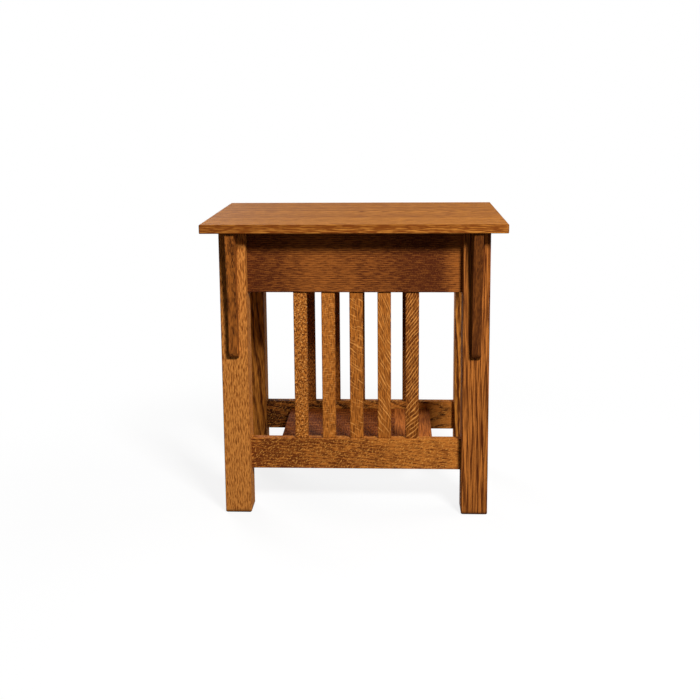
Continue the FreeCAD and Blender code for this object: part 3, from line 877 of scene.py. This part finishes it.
slatRow = buildSlatRow()
slatHalf = (slatSizes["Width"] / 2, slatSizes["Thickness"] / 2, slatSizes["Length"] / 2)
slatFinish = oakMaterial("oak_slats", slatLook, grainTurns["upright"], slatHalf, carried=slatCarried)
for end, row in slatRows.items():
    carried = {name: [figure[name] for figure in slatFigures] for name in slatFigures[0]}
    carried["fleckLean"] = [math.radians(lean) for lean in carried["fleckLean"]]
    carried["fleckShow"] = [show * row["fleckShare"] for show in carried["fleckShow"]]
    # the back row's painted shade is added to each slat's tone
    carried["slatShade"] = [shade + row["darker"] for shade in carried["slatShade"]]
    rowSeed = slatSeeds["rowStep"] * row["Row"]
    carried["slatSeed"] = [
        slatSeeds["first"] + slatSeeds["slatStep"] * number + rowSeed for number in range(len(slatFigures))
    ]
    start = pointMesh(f"slat_row_{end}_start", [(0, 0, 0)] * len(slatFigures), carried)
    values = {**slatSizes, "Shift": row["Shift"], "Row": row["Row"], "Finish": slatFinish}
    piece = makeFromTree(f"slat_row_{end}", slatRow, start, values)
    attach(piece, "root")
    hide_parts(*[f"slat_{end}_{number}" for number in range(1, len(slatFigures) + 1)])
print("slat rows made")


# Steel clips and screws
steelLook = {
    "color": stain(168, 166, 160),
    "worn": stain(120, 116, 108),
    "wornWaves": (60.0, 60.0, 60.0),
    "wornStart": 0.35,
    "wornFull": 0.7,
    "brushWaves": (900.0, 900.0, 90.0),
    "roughness": 0.25,
    "brushRoughness": 0.25,
    "bump": 0.2,
    "bumpDistance": 0.0002,
}
screwSizes = {
    "Head Radius": 0.0045,
    "Head Flat": 0.0025,
    "Rim": 0.001,
    "Dome": 0.0016,
    "Recess Length": 0.0042,
    "Recess Width": 0.0009,
    "Recess Depth": 0.0017,
    "Neck Radius": 0.002,
    "Neck": 0.004,
    "Core Radius": 0.0014,
    "Pitch": 0.0018,
    "Point": 0.005,
}
screwFineness = {"sides": 28, "threadSteps": 12, "threadSides": 4, "weld": 0.000002}
screwLengths = {"top_clip_screws": 0.013, "cleat_screws": 0.031, "shelf_screws": 0.031}
screwRows = {
    "clips": {"count": 3, "spacing": 0.110},
    "endClips": {"count": 2, "spacing": 0.120},
    "shelfBoards": {"count": 4, "spacing": 0.080},
    "cleats": {"count": 3, "spacing": 0.080},
}


def steelMaterial(name, look):
    material, tree = startMaterial(name)
    place = addNode(tree, "ShaderNodeTexCoord").outputs["Object"]
    brushed = waveNoise(tree, place, look["brushWaves"], 3.0)
    dull = waveNoise(tree, place, look["wornWaves"], 2.0)
    worn = smooth(tree, dull, look["wornStart"], look["wornFull"])
    bump = addNode(tree, "ShaderNodeBump", {
        "Height": brushed,
        "Strength": look["bump"],
        "Distance": look["bumpDistance"],
    })
    shader = addNode(tree, "ShaderNodeBsdfPrincipled", {
        "Base Color": blendTone(tree, worn, look["color"], look["worn"]),
        "Roughness": calc(tree, "MULTIPLY_ADD", brushed, look["brushRoughness"], look["roughness"]),
        "Normal": bump.outputs[0],
        "Metallic": 1.0,
    })
    addNode(tree, "ShaderNodeOutputMaterial", {"Surface": shader.outputs[0]})
    return material


def rod(tree, radius, low, length):
    inputs = {"Vertices": screwFineness["sides"], "Radius": radius, "Depth": length}
    middle = calc(tree, "MULTIPLY_ADD", length, 0.5, low)
    return lifted(tree, geometry(tree, "GeometryNodeMeshCylinder", inputs), middle)


def taper(tree, startRadius, endRadius, low, length):
    cone = geometry(tree, "GeometryNodeMeshCone", {
        "Vertices": screwFineness["sides"],
        "Radius Bottom": startRadius,
        "Radius Top": endRadius,
        "Depth": length,
    })
    return lifted(tree, cone, low)


def buildScrews():
    # a screw seats at its point, head below, and its tip goes where the point's aim goes
    inputs = {"Geometry": "Geometry", "Finish": "Material", "Length": "Float", **screwSizes}
    tree, given, result = newGroup("screws", "GeometryNodeTree", inputs, {"Geometry": "Geometry"})
    rimLow = calc(tree, "MULTIPLY", given["Rim"], -1.0)
    domeLow = calc(tree, "SUBTRACT", rimLow, given["Dome"])
    rim = rod(tree, given["Head Radius"], rimLow, given["Rim"])
    dome = taper(tree, given["Head Flat"], given["Head Radius"], domeLow, given["Dome"])
    size = join(tree, given["Recess Length"], given["Recess Width"], given["Recess Depth"])
    arm = geometry(tree, "GeometryNodeMeshCube", {"Size": size})
    arms = [lifted(tree, arm, domeLow, turn) for turn in (0.0, math.pi / 2)]
    head = cutMeshes(tree, uniteMeshes(tree, [rim, dome]), arms)
    head = weld(tree, head, screwFineness["weld"])
    neck = rod(tree, given["Neck Radius"], 0.0, given["Neck"])
    straight = calc(tree, "SUBTRACT", given["Length"], given["Point"])
    core = rod(tree, given["Core Radius"], 0.0, straight)
    point = taper(tree, given["Core Radius"], 0.0, straight, given["Point"])
    shank = uniteMeshes(tree, [core, point])
    rise = calc(tree, "SUBTRACT", straight, given["Neck"])
    spiral = geometry(tree, "GeometryNodeCurveSpiral", {
        "Resolution": screwFineness["threadSteps"],
        "Rotations": calc(tree, "DIVIDE", rise, given["Pitch"]),
        "Start Radius": given["Core Radius"],
        "End Radius": given["Core Radius"],
        "Height": rise,
    })
    ridge = calc(tree, "SUBTRACT", given["Neck Radius"], given["Core Radius"])
    inputs = {"Resolution": screwFineness["threadSides"], "Radius": ridge}
    profile = geometry(tree, "GeometryNodeCurvePrimitiveCircle", inputs)
    inputs = {"Curve": spiral, "Profile Curve": profile, "Fill Caps": True}
    thread = lifted(tree, geometry(tree, "GeometryNodeCurveToMesh", inputs), given["Neck"])
    screw = joinMeshes(tree, [head, neck, shank, thread])
    aim = geometry(tree, "GeometryNodeInputNamedAttribute", {"Name": "aim"}, data_type="FLOAT_VECTOR")
    turned = geometry(tree, "FunctionNodeAlignRotationToVector", {"Vector": aim}, axis="Z")
    screws = placed(tree, given["Geometry"], screw, given["Finish"], Rotation=turned)
    feed(tree, result["Geometry"], screws)
    return tree


def spread(row):  # places along a row, about its middle
    middle = (row["count"] - 1) / 2
    return [(number - middle) * row["spacing"] for number in range(row["count"])]


def screwSpots(node):  # where the solids of a CAD node seat, and where their tips point
    low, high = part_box(node)
    if node == "cleat_screws":
        reach = high.y - screwLengths[node]
        level = (low.z + high.z) / 2
        spots = [(x, end * reach, level) for end in (-1, 1) for x in spread(screwRows["cleats"])]
        return spots, [(0, -1 if spot[1] < 0 else 1, 0) for spot in spots]
    headRadius = screwSizes["Head Radius"]
    seat = low.z + screwSizes["Rim"] + screwSizes["Dome"]
    rows = (low.y + headRadius, high.y - headRadius)
    rowName = "clips" if node == "top_clip_screws" else "shelfBoards"
    spots = [(x, y, seat) for y in rows for x in spread(screwRows[rowName])]
    if node == "top_clip_screws":
        columns = (low.x + headRadius, high.x - headRadius)
        spots += [(x, y, seat) for x in columns for y in spread(screwRows["endClips"])]
    return spots, [(0, 0, 1)] * len(spots)


clipSteel = steelMaterial("steel_clips", steelLook)
for slot in cadNodes["top_clips"].material_slots:
    slot.material = clipSteel
screwSteel = steelMaterial("steel_screws", steelLook)
screwTree = buildScrews()
for node, length in screwLengths.items():
    spots, aims = screwSpots(node)
    start = pointMesh(node + "_start", spots, {"aim": aims})
    values = {**screwSizes, "Length": length, "Finish": screwSteel}
    piece = makeFromTree(node + "_threaded", screwTree, start, values)
    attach(piece, "root")
    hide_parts(node)
print("hardware finished")


# Floor, sky, lamps and camera
floorLook = {
    "reach": 14.0,
    "drop": 0.0004,  # keeps the floor clear of the feet
    "color": (0.15, 0.15, 0.15, 1.0),  # for the light that it throws back
    "pale": (0.9, 0.9, 0.9, 1.0),  # for the eye, where the shadow shows
    "white": 0.85,  # share of plain white near the table
    "near": 0.5,
    "far": 1.1,
}
skyLook = {"color": (1.0, 1.0, 1.0, 1.0), "strength": 0.06}
lamps = {  # turn, from the front towards the right, and lift are in degrees
    "keyLamp": {"turn": 25, "lift": 35, "away": 2.9, "wide": 0.6, "tall": 0.45, "watts": 102},
    "sideLamp": {"turn": 96, "lift": 22, "away": 2.4, "wide": 1.0, "tall": 0.8, "watts": 20},
    "backLamp": {"turn": 215, "lift": 13, "away": 2.8, "wide": 1.4, "tall": 1.4, "watts": 75},
}
lampTarget = Vector((0.0, 0.0, 0.33))
cameraPose = {
    "place": (0.0815, -2.1605, 0.860),
    "pitch": 0.164,  # radians down
    "turn": 0.0447,  # radians to the left
    "roll": -0.0077,
    "focalPixels": 1021,
    "imagePixels": 700,
    "sensor": 36,
    "shift": -0.125,
}


def seenShare(tree):  # 1 for what the eye, metal or glass sees, 0 for the light on the object
    seen = addNode(tree, "ShaderNodeLightPath").outputs
    shown = calc(tree, "MAXIMUM", seen["Is Camera Ray"], seen["Is Transmission Ray"])
    return calc(tree, "MAXIMUM", shown, seen["Is Glossy Ray"])


def blendShaders(tree, amount, under, over):
    return addNode(tree, "ShaderNodeMixShader", {0: amount, 1: under, 2: over}).outputs[0]


reach = floorLook["reach"]
corners = [(-reach, -reach, 0), (reach, -reach, 0), (reach, reach, 0), (-reach, reach, 0)]
floorMesh = bpy.data.meshes.new("floor")
floorMesh.from_pydata(corners, [], [(0, 1, 2, 3)])
floor = bpy.data.objects.new("floor", floorMesh)
floor.location.z = -floorLook["drop"]
scene.collection.objects.link(floor)
floorPaint, tree = startMaterial("pale_floor")
matte = addNode(tree, "ShaderNodeBsdfDiffuse", {"Color": floorLook["color"]}).outputs[0]
pale = addNode(tree, "ShaderNodeBsdfDiffuse", {"Color": floorLook["pale"]}).outputs[0]
white = addNode(tree, "ShaderNodeEmission", {"Strength": 1.0}).outputs[0]
spot = addNode(tree, "ShaderNodeTexCoord").outputs["Object"]
away = addNode(tree, "ShaderNodeVectorMath", {0: spot}, operation="LENGTH").outputs["Value"]
bleached = smooth(tree, away, floorLook["near"], floorLook["far"], floorLook["white"])
paper = blendShaders(tree, bleached, pale, white)
addNode(tree, "ShaderNodeOutputMaterial", {"Surface": blendShaders(tree, seenShare(tree), matte, paper)})
floorMesh.materials.append(floorPaint)

sky = bpy.data.worlds.new("paleSky")
scene.world = sky
sky.use_nodes = True
tree = sky.node_tree
tree.nodes.clear()
inputs = {"Color": skyLook["color"], "Strength": skyLook["strength"]}
soft = addNode(tree, "ShaderNodeBackground", inputs).outputs[0]
white = addNode(tree, "ShaderNodeBackground", {"Color": skyLook["color"], "Strength": 1.0}).outputs[0]
addNode(tree, "ShaderNodeOutputWorld", {"Surface": blendShaders(tree, seenShare(tree), soft, white)})

for name, lamp in lamps.items():
    light = bpy.data.lights.new(name, "AREA")
    light.shape = "RECTANGLE"
    light.size = lamp["wide"]
    light.size_y = lamp["tall"]
    light.energy = lamp["watts"]
    holder = bpy.data.objects.new(name, light)
    scene.collection.objects.link(holder)
    turn = math.radians(lamp["turn"])
    lift = math.radians(lamp["lift"])
    aim = Vector((math.sin(turn) * math.cos(lift), -math.cos(turn) * math.cos(lift), math.sin(lift)))
    holder.location = lampTarget + aim * lamp["away"]
    holder.rotation_euler = aim.to_track_quat("Z", "Y").to_euler()

camera = bpy.data.cameras.new("tableCamera")
camera.sensor_width = cameraPose["sensor"]
camera.sensor_fit = "HORIZONTAL"
camera.lens = cameraPose["focalPixels"] / cameraPose["imagePixels"] * cameraPose["sensor"]
camera.shift_y = cameraPose["shift"]
cameraHolder = bpy.data.objects.new("tableCamera", camera)
scene.collection.objects.link(cameraHolder)
cameraHolder.matrix_world = (
    Matrix.Translation(cameraPose["place"])
    @ Matrix.Rotation(cameraPose["turn"], 4, "Z")
    @ Matrix.Rotation(math.pi / 2 - cameraPose["pitch"], 4, "X")
    @ Matrix.Rotation(cameraPose["roll"], 4, "Z")
)
scene.camera = cameraHolder
scene.view_settings.view_transform = "Standard"
print("floor, lamps and camera set")
